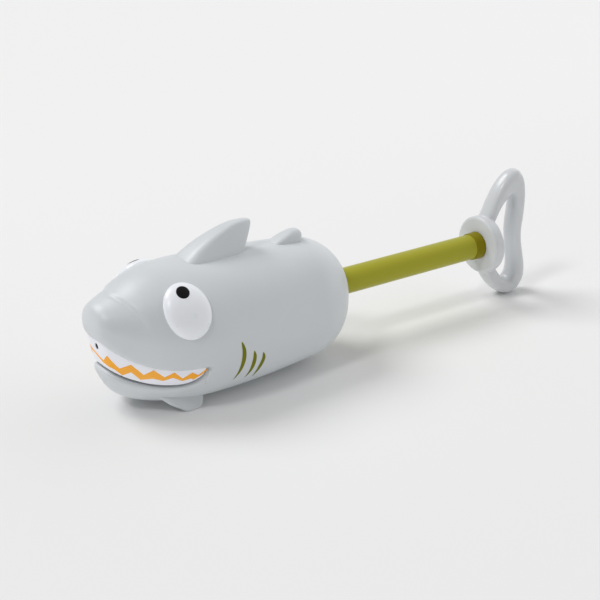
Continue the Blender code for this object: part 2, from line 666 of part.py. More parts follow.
def main():
    grey = material("grey_vinyl", VINYL_GREY, 0.45)
    white = material("eye_white", EYE_WHITE, 0.30)
    black = material("pupil_black", PUPIL_BLACK, 0.25)
    tooth = material("tooth_white", TOOTH_WHITE, 0.35)
    green = material("rod_green", ROD_GREEN, 0.35)
    dark_green = material("collar_green", COLLAR_GREEN, 0.40)
    pump = material("pump_white", PUMP_WHITE, 0.45)
    rubber = material("seal_rubber", SEAL_BLACK, 0.70)
    steel = material("screw_steel", STEEL, 0.35, 1.0)
    make_body_shell(grey)
    make_tooth_band(tooth)
    make_eye("left", -1, white, black)
    make_eye("right", 1, white, black)
    make_barrel(pump)
    make_front_cap(pump, rubber)
    make_nozzle_tip(rubber)
    make_rear_cap(grey, rubber)
    make_piston(pump, rubber, steel)
    make_rod(green, dark_green, pump)
    make_handle(grey)


main()
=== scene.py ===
"""Looks of the shark water squirter: its finished surfaces, colours, floor, light and camera.

The soft body, the tooth band, the rear cap and the handle are made as distance fields that are turned
into meshes. Places are given in the shark's own frame, in metres: X is the distance behind the nose tip,
Y runs across, and Z is the height over the pump axis.
"""
from itertools import product
from math import cos, pi, radians, sin, tau

import bmesh
import bpy
import numpy as np
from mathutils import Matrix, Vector


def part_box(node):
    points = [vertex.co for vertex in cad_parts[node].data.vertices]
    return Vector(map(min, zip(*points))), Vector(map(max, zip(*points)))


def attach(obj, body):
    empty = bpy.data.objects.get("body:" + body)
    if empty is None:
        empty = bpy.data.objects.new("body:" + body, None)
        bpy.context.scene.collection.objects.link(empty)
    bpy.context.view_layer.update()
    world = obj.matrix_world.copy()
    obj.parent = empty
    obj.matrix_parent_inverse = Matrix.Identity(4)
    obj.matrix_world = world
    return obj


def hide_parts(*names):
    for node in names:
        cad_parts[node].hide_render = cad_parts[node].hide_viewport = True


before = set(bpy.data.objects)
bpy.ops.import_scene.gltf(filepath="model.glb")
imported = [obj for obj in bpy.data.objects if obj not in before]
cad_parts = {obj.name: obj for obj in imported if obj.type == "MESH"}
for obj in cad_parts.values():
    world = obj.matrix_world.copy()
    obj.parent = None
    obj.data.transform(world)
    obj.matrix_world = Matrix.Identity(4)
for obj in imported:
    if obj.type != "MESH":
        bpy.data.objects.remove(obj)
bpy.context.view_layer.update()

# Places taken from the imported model
ROD_LOW, ROD_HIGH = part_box("plunger_rod")
COLLAR_LOW, COLLAR_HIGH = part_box("rod_collar")
NOSE_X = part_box("body_shell")[0].x
AXIS_HEIGHT = (ROD_LOW.z + ROD_HIGH.z) / 2
ROD_R = (ROD_HIGH.z - ROD_LOW.z) / 2
ROD_FRONT = ROD_LOW.x - NOSE_X
ROD_END = ROD_HIGH.x - NOSE_X
CHAMBER_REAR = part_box("rear_cap")[0].x - NOSE_X
BARREL_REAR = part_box("pump_barrel")[1].x - NOSE_X
BARREL_R = (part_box("pump_barrel")[1].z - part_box("pump_barrel")[0].z) / 2
CAP_CONE_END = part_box("front_cap_o_ring")[0].x - NOSE_X
ORIGIN = np.array((NOSE_X, 0.0, AXIS_HEIGHT))

# Gap between pieces that fit in one another
FIT = 0.0003

# Shark body: the skin's stations, as distance from the nose tip, then heights of the top, of the underside
# and of the widest line over the pump axis, with the half width in between
BODY_LENGTH = 0.165
TAIL_ROUND = 0.032
BELLY_SQUARENESS = 2.4
WIDEST = 0.073
HEAD_STATIONS = [
    (0.0000, 0.0155, 0.0155, 0.0000, 0.0155),
    (0.0010, 0.0215, 0.0060, 0.0090, 0.0150),
    (0.0023, 0.0238, -0.0030, 0.0120, 0.0144),
    (0.0040, 0.0252, -0.0116, 0.0142, 0.0136),
    (0.0090, 0.0274, -0.0243, 0.0184, 0.0114),
    (0.0160, 0.0302, -0.0304, 0.0233, 0.0085),
    (0.0260, 0.0353, -0.0345, 0.0299, 0.0052),
    (0.0370, 0.0386, -0.0367, 0.0350, 0.0022),
    (0.0530, 0.0395, -0.0380, 0.0390, -0.0007),
    (WIDEST, 0.0391, -0.0383, 0.0398, -0.0015),
]
# Stations behind the widest point: share of the way to the tail, then the same four sizes
AFT_STATIONS = [
    (0.30, 0.0374, -0.0380, 0.0372, -0.0015),
    (0.65, 0.0350, -0.0358, 0.0340, -0.0010),
    (1.00, 0.0335, -0.0330, 0.0318, 0.0000),
]
NOSE_CAP = 0.0006
TAIL_CAP = 0.0010
SKIN_BOX = (-0.001, -0.041, -0.040), (BODY_LENGTH, 0.041, 0.042)

# Brow: the crease where the head rises behind the snout
BROW_FRONT = 0.0122
BROW_SLANT = 0.20
BROW_BEND = 6.5
BROW_RIDGE = 0.003
BROW_DEPTH = 0.0004
BROW_WIDTH = 0.0010
BROW_RISE = 0.0004
BROW_RISE_START = 0.0024
BROW_RISE_END = 0.012
BROW_FADE = (0.019, 0.029)
BROW_MIDDLE = 0.5
BROW_FULL = 0.008

# Mouth: a crescent in the side view
MOUTH_CORNER = 0.051
CORNER_HEIGHT = -0.0098
UPPER_LIP_RISE = 0.0182
UPPER_LIP_REACH = 0.046
UPPER_LIP_CURL = 2.6
LOWER_LIP_DROP = 0.0106
LOWER_LIP_RISE = 0.0142
LOWER_LIP_REACH = 0.036
LOWER_LIP_CURL = 2.2
LIP_GAP = 0.0010
UPPER_LIP_ROUND = 0.0012
UPPER_LIP_ROUND_FRONT = 0.0040
UPPER_LIP_ROUND_REACH = 0.016
LOWER_LIP_ROUND = 0.0050
TOOTH_SETBACK_FRONT = 0.0024
TOOTH_SETBACK_SIDE = 0.0010
TOOTH_THICKNESS = 0.0011
TOOTH_ROUND = 0.0006
TOOTH_TUCK = 0.0004
TOOTH_ROOM = 0.0022
BAND_HOLE = 0.0036
BAND_HOLE_HEIGHT = 0.0012
NOZZLE_ROOM = 0.0048
BAND_BOX = (0.0, -0.040, -0.024), (MOUTH_CORNER, 0.040, 0.008)

# Zigzag painted on the tooth band: angle round the jaw from the front, and height, of its two edges
# on one side, and of the thin line that joins the two sides across the front
JAW_CENTRE = 0.052
JAW_REACH = 0.07
ZIGZAG_UPPER = [
    (11.8, -0.0008), (18.6, -0.0079), (26.3, -0.0052), (34.1, -0.0117), (42.3, -0.0085), (50.5, -0.0133),
    (59.2, -0.0105), (66.0, -0.0149), (74.6, -0.0116), (79.8, -0.0138), (87.5, -0.0103),
]
ZIGZAG_LOWER = [
    (14.8, -0.0088), (19.6, -0.0122), (25.6, -0.0100), (30.9, -0.0149), (41.0, -0.0140), (49.0, -0.0157),
    (57.7, -0.0139), (65.6, -0.0166), (73.6, -0.0155), (75.7, -0.0165), (82.4, -0.0141), (87.5, -0.0112),
]
FRONT_LINE_UPPER = [(-7.6, -0.0018), (6.5, -0.0052)]
FRONT_LINE_LOWER = [(-7.6, -0.0030), (5.1, -0.0067)]
ZIGZAG_ROWS = 6
PAINT_RAISE = 0.00008
PAINT_SINK = 0.00025

# Gills: middle lines on the flank as (distance, height), and their greatest half width
GILLS = [
    [(0.0708, 0.0011), (0.0723, -0.0045), (0.0723, -0.0100), (0.0708, -0.0165), (0.0678, -0.0228)],
    [(0.0791, -0.0066), (0.0798, -0.0105), (0.0795, -0.0145), (0.0780, -0.0200), (0.0757, -0.0239)],
    [(0.0856, -0.0096), (0.0863, -0.0132), (0.0853, -0.0170), (0.0837, -0.0210), (0.0816, -0.0253)],
]
GILL_HALF_WIDTH = 0.0013
GILL_STEPS = 33
GILL_ROWS = 7
FLANK_REACH = 0.06

# Eyes: raised discs on the skin
EYE_STATION = 0.0435
EYE_ANGLE = 35.3
EYE_TILT = -9.0
EYE_HALF_LENGTH = 0.0128
EYE_HALF_HEIGHT = 0.0158
EYE_RIM = 0.0028
EYE_CROWN = 0.0042
EYE_EDGE = 6.0
EYE_SINK = 0.0008
PUPIL_R = 0.0035
PUPIL_RAISE = 0.0003
PUPIL_UP = 0.0088
EYE_DEPTH = 0.012
EYE_STEPS = 72
EYE_RINGS = 22

# Fins, as level slices: height over the pump axis, front and rear distance from the nose tip,
# half thickness and distance of the slice's middle from the centre plane
DORSAL_TIP = 0.0547
DORSAL_TAPER = 0.25
DORSAL_FIN = [
    (0.030, 0.0525, 0.0960, 0.0106, 0.0), (0.038, 0.0566, 0.0975, 0.0093, 0.0),
    (0.043, 0.0630, 0.0996, 0.0076, 0.0), (0.048, 0.0722, 0.1016, 0.0058, 0.0),
    (0.0515, 0.0812, 0.1026, 0.0044, 0.0), (0.0535, 0.0880, 0.1022, 0.0031, 0.0),
    (DORSAL_TIP, 0.0965, 0.0967, 0.0002, 0.0),
]
REAR_TIP = 0.0416
REAR_FIN = [
    (0.030, 0.1130, 0.1362, 0.0060, 0.0), (0.0355, 0.1166, 0.1366, 0.0055, 0.0),
    (0.0385, 0.1226, 0.1368, 0.0046, 0.0), (0.0403, 0.1277, 0.1358, 0.0033, 0.0),
    (REAR_TIP, 0.1322, 0.1324, 0.0002, 0.0),
]
SIDE_FIN = [
    (-0.024, 0.0262, 0.0560, 0.0036, 0.0175), (-0.029, 0.0298, 0.0558, 0.0034, 0.0205),
    (-0.033, 0.0340, 0.0552, 0.0030, 0.0226), (-0.036, 0.0388, 0.0540, 0.0026, 0.0241),
    (-AXIS_HEIGHT, 0.0440, 0.0510, 0.0022, 0.0254),
]
FIN_SQUARENESS = 3.6
FIN_TIP = 0.0010

# Rear cap
REAR_CAP_R = 0.022
PLUG_R = 0.0167
VENT_R = 0.00125
VENT_PLACE = 0.0132
CAP_EDGE = 0.0006

# Plunger
ROD_WALL = 0.002
ROD_EDGE = 0.0005
COLLAR_GAP = 0.00005
COLLAR_WALL = 0.00045
COLLAR_FLARE = 0.00025

# Handle
HUB_FACE = COLLAR_HIGH.x - NOSE_X + FIT
HUB_R = 0.0184
HUB_THICKNESS = 0.0077
HUB_ROUND = 0.0017
HUB_SOCKET = 0.006
SPIGOT_LENGTH = 0.012
STRAP_HALF_WIDTH = 0.0062
STRAP_SQUARENESS = 2.5
STRAP_FILLET = 0.0008
# Outline of the tail fin and of its hole: distance behind the hub's face, and height over the pump axis
TAIL_OUTLINE = [
    (0.0008, 0.0010), (0.0014, 0.0095), (0.0038, 0.0175), (0.0075, 0.0252), (0.0115, 0.0327),
    (0.0166, 0.0396), (0.0232, 0.0448), (0.0302, 0.0454), (0.0350, 0.0390), (0.0364, 0.0297),
    (0.0364, 0.0212), (0.0358, 0.0127), (0.0347, 0.0043), (0.0355, -0.0042), (0.0376, -0.0124),
    (0.0393, -0.0200), (0.0397, -0.0254), (0.0384, -0.0312), (0.0338, -0.0366), (0.0262, -0.0386),
    (0.0180, -0.0354), (0.0116, -0.0298), (0.0064, -0.0231), (0.0030, -0.0156), (0.0012, -0.0075),
]
TAIL_HOLE = [
    (0.0076, 0.0000), (0.0086, 0.0096), (0.0120, 0.0164), (0.0155, 0.0222), (0.0195, 0.0264),
    (0.0232, 0.0290), (0.0262, 0.0288), (0.0270, 0.0250), (0.0268, 0.0190), (0.0261, 0.0130),
    (0.0258, 0.0059), (0.0264, -0.0015), (0.0276, -0.0089), (0.0284, -0.0160), (0.0281, -0.0224),
    (0.0254, -0.0272), (0.0218, -0.0270), (0.0187, -0.0238), (0.0144, -0.0184), (0.0102, -0.0122),
]
TAIL_LENGTH = 0.040
TAIL_HEIGHT = 0.0460


# Fineness of the meshes
SKIN_CELL = 0.0008
FIN_CELL = 0.0006
BAND_CELL = 0.00045
HANDLE_CELL = 0.0006
CAP_CELL = 0.0006
ROUND_STEPS = 96
SHARP = 40
TINY = 1e-12
FAR = 1.0

# View of the photograph
CAMERA_AZIMUTH = -35.352
CAMERA_ELEVATION = 22.832
CAMERA_DISTANCE = 0.8230
CAMERA_AIM = (0.13748, 0.0, -0.00444)
CAMERA_LENS = 84.0
CAMERA_SENSOR = 36.0

# Light: the sky's strength at the horizon, its rise upwards and to the right, and the height where it ends,
# then the lamps, each as the way towards it, its width in degrees and its strength
SKY_LOW = 0.22
SKY_RISE = 0.19
SKY_RIGHT = 1.35
SKY_EDGE = -0.02
LAMPS = {
    "back": ((-0.44, 0.68, 1.0), 32.0, 1.60),
    "left": ((-0.66, -0.14, 0.80), 12.0, 0.60),
    "below": ((-0.52, -0.38, -0.70), 40.0, 0.40),
}

# Floor: half its side, and its tone, painted darker in front of the shark and lighter behind it as shade for
# the light falling off, with the places across
FLOOR_REACH = 20.0
FLOOR_FALLOFF_SHADE = {"From Min": -0.35, "From Max": 0.45, "To Min": 0.775, "To Max": 0.835}


def smooth_curve(places, values, at):
    """A smooth curve through the given values, with slopes taken from their neighbours."""
    places, values = np.asarray(places), np.asarray(values)
    slopes = np.gradient(values, places)
    left = np.clip(np.searchsorted(places, at, side="right") - 1, 0, len(places) - 2)
    width = places[left + 1] - places[left]
    t = np.clip((at - places[left]) / width, 0.0, 1.0)
    rise = values[left + 1] - values[left]
    blend = t * t * (3 - 2 * t)
    return (values[left] + blend * rise
            + width * t * (1 - t) * ((1 - t) * slopes[left] - t * slopes[left + 1]))


def smooth_min(a, b, width):
    share = np.clip(0.5 + 0.5 * (b - a) / width, 0.0, 1.0)
    return b + (a - b) * share - width * share * (1 - share)


def smooth_max(a, b, width):
    return -smooth_min(-a, -b, width)


def smooth_step(t):
    t = np.clip(t, 0.0, 1.0)
    return t * t * (3 - 2 * t)


# Fields: about how far points lie outside a form, negative inside it

AFT = [(WIDEST + share * (BODY_LENGTH - WIDEST), *sizes) for share, *sizes in AFT_STATIONS]
STATIONS = np.array(HEAD_STATIONS + AFT).T


def section(distance):
    """Reach of the skin up, down and across from its middle, and the middle's height."""
    places, *columns = STATIONS
    root = np.sqrt(np.clip(distance, 0.0, BODY_LENGTH))
    top, under, half, waist = (smooth_curve(np.sqrt(places), column, root) for column in columns)
    past = np.clip(distance - (BODY_LENGTH - TAIL_ROUND), 0.0, TAIL_ROUND)
    drawn_in = TAIL_ROUND - np.sqrt(TAIL_ROUND ** 2 - past ** 2)
    return top - waist - drawn_in, waist - under - drawn_in, half - drawn_in, waist


def skin_excess(x, y, z):
    """Square of the distance from the skin's middle line, less that of the skin in the same direction."""
    up, down, half, waist = section(np.clip(x, NOSE_CAP, BODY_LENGTH - TAIL_CAP))
    rise = z - waist
    above = rise > 0
    power = np.where(above, 2.0, BELLY_SQUARENESS)
    spread = (np.abs(y) / half) ** power + (np.abs(rise) / np.where(above, up, down)) ** power
    away = y * y + rise * rise + TINY
    reach = away / (spread + TINY) ** (2.0 / power)
    ends = np.minimum(x / NOSE_CAP, (BODY_LENGTH - x) / TAIL_CAP)
    return away - reach * np.minimum(ends, 1.0)


def skin_gap(x, y, z):
    step = 0.0002
    slope = (skin_excess(x + step, y, z) - skin_excess(x - step, y, z)) / (2 * step)
    waist = section(np.clip(x, NOSE_CAP, BODY_LENGTH - TAIL_CAP))[3]
    away = y * y + (z - waist) ** 2
    return skin_excess(x, y, z) / np.sqrt(4 * away + slope ** 2 + TINY)


def brow(x, y, z):
    """Height of the brow over the plain skin: a crease, and a step up behind it that dies away."""
    side = np.sqrt(y * y + BROW_RIDGE ** 2)
    behind = x - BROW_FRONT - BROW_SLANT * side - BROW_BEND * side ** 2
    strength = (1 - smooth_step((side - BROW_FADE[0]) / (BROW_FADE[1] - BROW_FADE[0]))) * (z > 0)
    strength = strength * (BROW_MIDDLE + (1 - BROW_MIDDLE) * smooth_step(side / BROW_FULL))
    crease = -BROW_DEPTH * np.exp(-(behind / BROW_WIDTH) ** 2)
    step = smooth_step(behind / BROW_RISE_START) * (1 - smooth_step(behind / BROW_RISE_END))
    return strength * (crease + BROW_RISE * step)


def head_gap(x, y, z):
    return skin_gap(x, y, z) - brow(x, y, z)


def within(field, low, high, x, y, z):
    """A field that is only worked out inside a box, and is taken as far away outside it."""
    x, y, z = np.broadcast_arrays(x, y, z)
    inside = ((x > low[0]) & (x < high[0]) & (np.abs(y) > low[1]) & (np.abs(y) < high[1])
              & (z > low[2]) & (z < high[2]))
    gap = np.full(x.shape, FAR)
    gap[inside] = field(x[inside], y[inside], z[inside])
    return gap


def fin_gap(slices, tip, grows, taper):
    """A fin lofted through level slices, and the box round it; grows is 1 for one that points up and -1 for
    one that points down, and the taper makes it thicker to the front and thinner to the rear."""
    slices = sorted(slices, key=lambda level: grows * (tip - level[0]))
    height, front, rear, half, offset = np.array(slices).T
    places = np.sqrt(np.abs(tip - height))
    root = height[-1]

    def excess(x, y, z):
        at = np.sqrt(np.clip(grows * (tip - z), 0.0, None))
        columns = front, rear, half, offset
        nose, tail, thick, middle = (smooth_curve(places, column, at) for column in columns)
        reach = (tail - nose) / 2
        back = (x - (nose + tail) / 2) / reach
        thick = thick * (1 - taper * np.clip(back, -1.0, 1.0))
        along = np.abs(back)
        across = np.abs(np.abs(y) - middle) / thick
        total = (along ** FIN_SQUARENESS + across ** FIN_SQUARENESS + TINY) ** (1 / FIN_SQUARENESS)
        steep = np.hypot((along / total) ** (FIN_SQUARENESS - 1) / reach,
                         (across / total) ** (FIN_SQUARENESS - 1) / thick)
        return total - 1.0, steep

    def field(x, y, z):
        step = 0.0001
        value, steep = excess(x, y, z)
        slope = (excess(x, y, z + step)[0] - excess(x, y, z - step)[0]) / (2 * step)
        gap = value / np.sqrt(steep ** 2 + slope ** 2)
        return smooth_max(np.maximum(gap, grows * (root - z)), grows * (z - tip), FIN_TIP)
    wide = (1 + abs(taper)) * half
    ends = sorted((root, tip))
    low = (front.min(), (offset - wide).min(), ends[0])
    high = (rear.max(), (offset + wide).max(), ends[1])
    return field, low, high


def lip_height(distance, low, rise, reach, curl):
    return low + rise * np.clip(1 - distance / reach, 0.0, None) ** curl


def mouth_edges(x, trim_top, trim_under, corner):
    """Heights of the mouth's upper and lower edge in the side view."""
    low = CORNER_HEIGHT - LOWER_LIP_DROP
    top = lip_height(x, CORNER_HEIGHT, UPPER_LIP_RISE, UPPER_LIP_REACH, UPPER_LIP_CURL) - trim_top
    under = lip_height(x, low, LOWER_LIP_RISE, LOWER_LIP_REACH, LOWER_LIP_CURL) + trim_under
    turn = np.clip((x - LOWER_LIP_REACH) / (corner - LOWER_LIP_REACH), 0.0, 1.0)
    close = CORNER_HEIGHT - trim_top - (low + trim_under)
    return top, under + close * (1 - np.sqrt(1 - turn ** 2))


def mouth_gap(x, z, trim_top=0.0, trim_under=0.0, corner=MOUTH_CORNER):
    step = 0.0002
    top, under = mouth_edges(x, trim_top, trim_under, corner)
    ahead = mouth_edges(x - step, trim_top, trim_under, corner)
    steep_top = np.sqrt(1 + ((top - ahead[0]) / step) ** 2)
    steep_under = np.sqrt(1 + np.minimum(((under - ahead[1]) / step) ** 2, 25.0))
    return np.maximum(np.maximum((z - top) / steep_top, (under - z) / steep_under), x - corner)


def tooth_setback(x):
    share = np.clip(x / MOUTH_CORNER, 0.0, 1.0)
    return TOOTH_SETBACK_FRONT + (TOOTH_SETBACK_SIDE - TOOTH_SETBACK_FRONT) * share


def pocket_gap(x, y, z):
    floor = tooth_setback(x) + TOOTH_THICKNESS + TOOTH_ROOM
    return np.maximum(mouth_gap(x, z), -(head_gap(x, y, z) + floor))


def lip_round(x, z):
    top, under = mouth_edges(x, 0.0, 0.0, MOUTH_CORNER)
    share = smooth_step((z - under) / np.maximum(top - under, 0.001))
    front = 1 - smooth_step(x / UPPER_LIP_ROUND_REACH)
    upper = UPPER_LIP_ROUND + (UPPER_LIP_ROUND_FRONT - UPPER_LIP_ROUND) * front
    return LOWER_LIP_ROUND + (upper - LOWER_LIP_ROUND) * share


def shark_gap(x, y, z):
    room = 2 * UPPER_LIP_ROUND_FRONT
    low = (-room, -room, CORNER_HEIGHT - LOWER_LIP_DROP - room)
    high = (MOUTH_CORNER + room, FAR, CORNER_HEIGHT + UPPER_LIP_RISE + room)
    pocket = within(pocket_gap, low, high, x, y, z)
    return smooth_max(head_gap(x, y, z), -pocket, lip_round(x, z))


def band_gap(x, y, z):
    middle = tooth_setback(x) + TOOTH_THICKNESS / 2
    sheet = np.abs(head_gap(x, y, z) + middle) - TOOTH_THICKNESS / 2
    trimmed = mouth_gap(x, z, -TOOTH_TUCK, LIP_GAP, MOUTH_CORNER - LIP_GAP)
    band = smooth_max(sheet, trimmed, TOOTH_ROUND)
    hole = np.maximum(np.hypot(y, z - BAND_HOLE_HEIGHT) - BAND_HOLE / 2, x - CAP_CONE_END)
    return smooth_max(band, -hole, TOOTH_ROUND / 2)


def rear_cap_gap(x, y, z):
    radius = np.hypot(y, z)
    dome = smooth_max(np.maximum(skin_gap(x, y, z), BARREL_REAR + FIT - x), radius - REAR_CAP_R, CAP_EDGE)
    plug = np.maximum(np.maximum(radius - PLUG_R, CHAMBER_REAR - x), x - BARREL_REAR - 2 * FIT)
    vent = np.hypot(np.abs(y) - VENT_PLACE, z) - VENT_R
    return smooth_max(np.minimum(dome, plug), -np.minimum(radius - ROD_R - FIT, vent), CAP_EDGE / 2)


def closed_line(points):
    """A smooth closed line through points given behind the hub's face and over the pump axis."""
    points = np.array(points)
    count = len(points)
    steps = np.arange(-2, count + 3)
    at = np.linspace(0.0, count, 4 * count, endpoint=False)
    line = np.stack([smooth_curve(steps, points[steps % count, k], at) for k in (0, 1)], axis=1)
    return line + (HUB_FACE, 0.0)


def outside_line(points, line):
    """Distance of points from a closed line in the same plane, negative inside it."""
    best = np.full(len(points), FAR)
    inside = np.zeros(len(points), bool)
    for start, end in zip(line, np.roll(line, -1, axis=0)):
        run, off = end - start, points - start
        share = np.clip(off @ run / (run @ run), 0.0, 1.0)
        best = np.minimum(best, np.linalg.norm(off - share[:, None] * run, axis=1))
        spans = (start[1] > points[:, 1]) != (end[1] > points[:, 1])
        ahead = (off[:, 0] * run[1] < off[:, 1] * run[0]) == (run[1] > 0)
        inside ^= spans & ahead
    return np.where(inside, -best, best)


TAIL_LINES = closed_line(TAIL_OUTLINE), closed_line(TAIL_HOLE)


def rounded(first, second, radius):
    """What lies in both of two forms that meet square on, with their common edge rounded."""
    first, second = first + radius, second + radius
    outer = np.hypot(np.maximum(first, 0.0), np.maximum(second, 0.0))
    return outer + np.minimum(np.maximum(first, second), 0.0) - radius


def handle_gap(x, y, z):
    flat = np.stack([np.ravel(part) for part in np.broadcast_arrays(x, z)], axis=1)
    depths = (outside_line(flat, line).reshape(np.broadcast_shapes(x.shape, z.shape)) for line in TAIL_LINES)
    out_of_tail, out_of_hole = depths
    thick = out_of_hole - out_of_tail
    across = np.abs(out_of_hole + out_of_tail) / thick
    total = (across ** STRAP_SQUARENESS + (np.abs(y) / STRAP_HALF_WIDTH) ** STRAP_SQUARENESS + TINY)
    strap = (total ** (1 / STRAP_SQUARENESS) - 1) * np.minimum(thick / 2, STRAP_HALF_WIDTH)
    radius = np.hypot(y, z)
    middle = HUB_FACE + HUB_THICKNESS / 2
    hub = rounded(radius - HUB_R, np.abs(x - middle) - HUB_THICKNESS / 2, HUB_ROUND)
    solid = smooth_min(strap, hub, STRAP_FILLET)
    socket = np.maximum(radius - ROD_R - FIT, x - HUB_FACE - HUB_SOCKET)
    solid = np.maximum(solid, -socket)
    spigot = np.maximum(radius - ROD_R + ROD_WALL + FIT, np.maximum(HUB_FACE - SPIGOT_LENGTH - x, x - middle))
    return np.minimum(solid, spigot)


def slope_of(field, points):
    step = 0.00005
    columns = []
    for axis in range(3):
        shift = np.zeros(3)
        shift[axis] = step
        columns.append((field(*(points + shift).T) - field(*(points - shift).T)) / (2 * step))
    return np.stack(columns, axis=1)


def outward(field, points):
    slope = slope_of(field, points)
    return slope / (np.linalg.norm(slope, axis=1, keepdims=True) + TINY)


def shoot(field, starts, directions, reach):
    """Points where rays from inside a form leave it."""
    near, far = np.zeros(len(starts)), np.full(len(starts), reach)
    for _ in range(40):
        middle = (near + far) / 2
        inside = field(*(starts + middle[:, None] * directions).T) < 0.0
        near = np.where(inside, middle, near)
        far = np.where(inside, far, middle)
    return starts + near[:, None] * directions


# Meshes

def grid_values(field, axes):
    """The field on a grid, worked out slab by slab."""
    x, y, z = axes
    slabs = np.array_split(x, max(1, len(x) // 12))
    return np.concatenate([field(slab[:, None, None], y[None, :, None], z[None, None, :]) for slab in slabs])


def surface_net(field, low, high, cell):
    """Points and four-sided faces on the surface of a field, one point for each grid cell it crosses."""
    axes = [np.arange(a - cell / 2, b + 2 * cell, cell) for a, b in zip(low, high)]
    value = grid_values(field, axes)
    inside = value < 0.0
    shape = tuple(n - 1 for n in value.shape)
    corners = list(product((0, 1), repeat=3))
    count = sum(inside[i:i + shape[0], j:j + shape[1], k:k + shape[2]].astype(np.int8) for i, j, k in corners)
    crossed = (count > 0) & (count < 8)
    cells = np.argwhere(crossed)
    number = np.full(shape, -1)
    number[crossed] = np.arange(len(cells))
    total, hits = np.zeros((len(cells), 3)), np.zeros(len(cells))
    for corner in corners:
        for axis in range(3):
            if corner[axis]:
                continue
            end = np.array(corner)
            end[axis] = 1
            first, second = value[tuple((cells + corner).T)], value[tuple((cells + end).T)]
            cuts = (first < 0) != (second < 0)
            share = first[cuts] / (first[cuts] - second[cuts])
            total[cuts] += np.array(corner) + share[:, None] * (end - np.array(corner))
            hits[cuts] += 1
    points = (cells + total / hits[:, None]) * cell + [axis[0] for axis in axes]
    faces = []
    for axis in range(3):
        across, over = np.eye(3, dtype=int)[[(axis + 1) % 3, (axis + 2) % 3]]
        along = np.eye(3, dtype=int)[axis]
        first = inside[tuple(slice(0, n - d) for n, d in zip(inside.shape, along))]
        second = inside[tuple(slice(d, None) for d in along)]
        edges = np.argwhere(first != second)
        keep = np.all((edges - across - over >= 0) & (edges < shape), axis=1)
        edges = edges[keep]
        quad = np.stack([number[tuple((edges - a * across - b * over).T)]
                         for a, b in ((0, 0), (1, 0), (1, 1), (0, 1))], axis=1)
        leaving = first[tuple(edges.T)]
        faces.append(np.where(leaving[:, None], quad, quad[:, ::-1]))
    return points, np.concatenate(faces)


def settle(field, points, faces, cell, rounds=6):
    """Evens out a mesh along its surface and draws its points onto the field's surface."""
    starts, ends = faces.ravel(), np.roll(faces, -1, axis=1).ravel()
    weight = np.bincount(starts, minlength=len(points)) + np.bincount(ends, minlength=len(points))
    for _ in range(rounds):
        middle = np.stack([
            np.bincount(starts, points[ends, k], len(points))
            + np.bincount(ends, points[starts, k], len(points))
            for k in range(3)], axis=1) / weight[:, None]
        shift = 0.6 * (middle - points)
        slope = slope_of(field, points)
        steep = np.sum(slope * slope, axis=1) + TINY
        off = (field(*points.T) + np.sum(shift * slope, axis=1)) / steep
        step = shift - off[:, None] * slope
        length = np.linalg.norm(step, axis=1, keepdims=True) + TINY
        points = points + step * np.minimum(1.0, 0.5 * cell / length)
    return points


def add_object(name, points, faces, finish, sharp=SHARP):
    mesh = bpy.data.meshes.new(name)
    mesh.from_pydata((np.asarray(points) + ORIGIN).tolist(), [], [list(map(int, face)) for face in faces])
    bm = bmesh.new()
    bm.from_mesh(mesh)
    bmesh.ops.recalc_face_normals(bm, faces=bm.faces)
    bm.to_mesh(mesh)
    bm.free()
    mesh.shade_smooth()
    mesh.set_sharp_from_angle(angle=radians(sharp))
    mesh.materials.append(finish)
    obj = bpy.data.objects.new(name, mesh)
    bpy.context.scene.collection.objects.link(obj)
    return obj


def formed(name, field, low, high, cell, finish):
    points, faces = surface_net(field, low, high, cell)
    return add_object(name, settle(field, points, faces, cell), faces, finish)


def loft(name, rings, finish, first=None, last=None, sharp=SHARP):
    """Skin over rings of points, closed at each end by a fan to a point or by a flat face."""
    rings = np.asarray(rings)
    rows, count = rings.shape[:2]
    points = list(rings.reshape(-1, 3))
    faces = []
    for row in range(rows - 1):
        for i in range(count):
            j = (i + 1) % count
            faces.append((row * count + i, row * count + j, (row + 1) * count + j, (row + 1) * count + i))
    for row, point in ((0, first), (rows - 1, last)):
        ring = [row * count + i for i in range(count)]
        if point is None:
            faces.append(ring)
            continue
        points.append(point)
        faces += [(ring[i], ring[(i + 1) % count], len(points) - 1) for i in range(count)]
    return add_object(name, points, faces, finish, sharp)


def turned(name, profile, finish):
    """A ring turned about the pump axis from a closed profile of (radius, distance)."""
    profile = np.array(profile)
    angles = tau * np.arange(ROUND_STEPS) / ROUND_STEPS
    points = [(s, r * cos(a), r * sin(a)) for a in angles for r, s in profile]
    count = len(profile)
    faces = []
    for row in range(ROUND_STEPS):
        after = (row + 1) % ROUND_STEPS
        for i in range(count):
            j = (i + 1) % count
            faces.append((row * count + i, row * count + j, after * count + j, after * count + i))
    return add_object(name, points, faces, finish)


def combine(obj, operation, other):
    """Joins the other form to obj, or takes it out of it."""
    step = obj.modifiers.new("combine", "BOOLEAN")
    step.operation = operation
    step.solver = "MANIFOLD"
    step.object = other
    bpy.context.view_layer.update()
    mesh = bpy.data.meshes.new_from_object(obj.evaluated_get(bpy.context.evaluated_depsgraph_get()))
    obj.modifiers.clear()
    obj.data = mesh
    mesh.shade_smooth()
    mesh.set_sharp_from_angle(angle=radians(SHARP))
    bpy.data.objects.remove(other, do_unlink=True)


# Materials

def new_material(name):
    made = bpy.data.materials.new(name)
    made.use_nodes = True
    tree = made.node_tree
    return made, tree, tree.nodes["Principled BSDF"]


